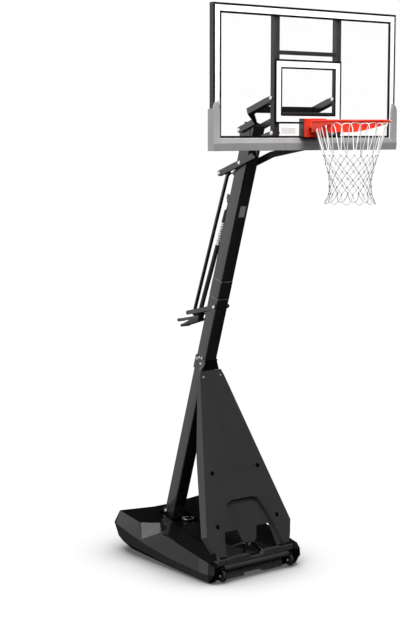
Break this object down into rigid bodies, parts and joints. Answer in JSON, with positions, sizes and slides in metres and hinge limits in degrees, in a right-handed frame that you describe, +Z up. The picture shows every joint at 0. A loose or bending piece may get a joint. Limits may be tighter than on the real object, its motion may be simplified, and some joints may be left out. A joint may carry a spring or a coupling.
{
  "type": "portable basketball hoop",
  "caption": "Free-standing basketball hoop: ballast base on wheels, leaning pole, parallelogram height lift, framed glass backboard and breakaway rim with a net.",
  "frame": {"origin": "on the floor under the middle of the base, where its underside rests", "axes": "+Z up, -Y towards the court (board, ring and wheels are on that side), +X to the right for a player who faces the board along +Y"},
  "size_m": [1.544, 2.2156, 3.735],
  "materials": {
    "base_plastic": "moulded black polyethylene, fine grain",
    "shield_plastic": "moulded charcoal plastic, satin",
    "black_steel": "black powder coat",
    "frame_steel": "dark grey powder coat",
    "zinc": "zinc plated",
    "board_glass": "clear, polished",
    "silver_pad": "silver moulded foam",
    "rim_paint": "red-orange powder coat",
    "net_cord": "white knotted nylon",
    "wheel_rubber": "solid black rubber",
    "grip_plastic": "black, textured"
  },
  "bodies": {
    "stand": {"base_tank": "base_plastic", "front_bumper": "shield_plastic", "axle_tube": "shield_plastic", "wheel_fork_left": "black_steel", "wheel_fork_right": "black_steel", "wheel_axle_left": "zinc", "wheel_axle_right": "zinc", "brace_bracket_left": "shield_plastic", "brace_bracket_right": "shield_plastic", "front_brace_left": "black_steel", "front_brace_right": "black_steel", "pole_bracket": "black_steel", "shield": "shield_plastic", "pole_foot_bracket": "black_steel", "pole_foot_bolt": "zinc", "pole_lower": "black_steel", "pole_collar": "black_steel", "pole_upper": "black_steel", "pole_cap": "base_plastic", "pole_head_bracket": "black_steel", "lower_pivot_bolt": "zinc", "upper_pivot_bolt": "zinc", "link_pivot_bolt": "zinc", "assist_bracket": "black_steel"},
    "filler_cap": {"filler_cap": "base_plastic"},
    "lower_arms": {"lower_arm_left": "black_steel", "lower_arm_right": "black_steel", "push_rod_pin": "zinc"},
    "upper_arms": {"upper_arm_left": "black_steel", "upper_arm_right": "black_steel", "upper_cross_tube": "black_steel"},
    "board": {"glass_panel": "board_glass", "board_frame_top": "frame_steel", "board_frame_bottom": "frame_steel", "board_frame_left": "frame_steel", "board_frame_right": "frame_steel", "board_upright_left": "frame_steel", "board_upright_right": "frame_steel", "board_crossbar_upper": "frame_steel", "board_crossbar_lower": "frame_steel", "pad_left": "silver_pad", "pad_right": "silver_pad", "pad_centre": "silver_pad", "rim_housing": "black_steel", "upper_board_bolt_left": "zinc", "upper_board_bolt_right": "zinc", "lower_board_bolt_left": "zinc", "lower_board_bolt_right": "zinc"},
    "rim": {"rim_ring": "rim_paint", "rim_brace": "rim_paint", "rim_box": "rim_paint", "net": "net_cord"},
    "push_rod": {"push_rod": "black_steel"},
    "handle_link": {"handle_link": "black_steel"},
    "assist": {"assist_tube": "frame_steel", "assist_rod": "black_steel"},
    "lock": {"lock_housing": "black_steel"},
    "squeeze_lever": {"squeeze_lever": "grip_plastic"},
    "wheel_left": {"wheel_left": "wheel_rubber"},
    "wheel_right": {"wheel_right": "wheel_rubber"}
  },
  "joints": [
    {"name": "lift", "type": "hinge", "parent": "stand", "child": "lower_arms", "pos_m": [0, -0.428, 2.776], "axis": [1, 0, 0], "range_deg": [0, 92.88]},
    {"name": "upper_arm_swing", "type": "hinge", "parent": "stand", "child": "upper_arms", "pos_m": [0, -0.42, 2.99], "axis": [1, 0, 0], "range_deg": [0, 92.88]},
    {"name": "board_level", "type": "hinge", "parent": "lower_arms", "child": "board", "pos_m": [0, -0.988, 2.969], "axis": [1, 0, 0], "range_deg": [-92.88, 0]},
    {"name": "push_rod_swing", "type": "hinge", "parent": "lower_arms", "child": "push_rod", "pos_m": [0, -0.21339, 2.70204], "axis": [1, 0, 0], "range_deg": [-90.51, 0]},
    {"name": "handle_swing", "type": "hinge", "parent": "stand", "child": "handle_link", "pos_m": [0, -0.139, 1.791], "axis": [1, 0, 0], "range_deg": [0, 65.14]},
    {"name": "assist_swing", "type": "hinge", "parent": "stand", "child": "assist", "pos_m": [0, -0.227, 2.513], "axis": [1, 0, 0], "range_deg": [0, 3.4]},
    {"name": "lock_slide", "type": "slide", "parent": "assist", "child": "lock", "axis": [0, -0.3768, 0.9263], "range_m": [0, 0.265]},
    {"name": "lever_squeeze", "type": "hinge", "parent": "lock", "child": "squeeze_lever", "pos_m": [0, 0.076, 1.682], "axis": [1, 0, 0], "range_deg": [0, 5.5], "stiffness_Nm_per_rad": 4, "springref_deg": -8.59},
    {"name": "rim_breakaway", "type": "hinge", "parent": "board", "child": "rim", "pos_m": [0, -1.056, 2.95], "axis": [1, 0, 0], "range_deg": [0, 20], "stiffness_Nm_per_rad": 400, "springref_deg": -17.19},
    {"name": "wheel_spin_left", "type": "hinge", "parent": "stand", "child": "wheel_left", "pos_m": [-0.299, -0.528, 0.0445], "axis": [1, 0, 0], "continuous": true},
    {"name": "wheel_spin_right", "type": "hinge", "parent": "stand", "child": "wheel_right", "pos_m": [0.299, -0.528, 0.0445], "axis": [1, 0, 0], "continuous": true},
    {"name": "filler_cap_turn", "type": "hinge", "parent": "stand", "child": "filler_cap", "pos_m": [0.053, 0.302, 0.1853], "axis": [0, 0, 1], "continuous": true}
  ],
  "couplings": [
    {"joint": "upper_arm_swing", "follows": "lift", "ratio": 1},
    {"joint": "board_level", "follows": "lift", "ratio": -1},
    {"joint": "push_rod_swing", "follows": "lift", "ratio": -0.9744},
    {"joint": "handle_swing", "follows": "lift", "ratio": 0.7012},
    {"joint": "assist_swing", "follows": "lift", "ratio": 0.0365},
    {"joint": "lock_slide", "follows": "lift", "m_per_rad": 0.1634}
  ]
}
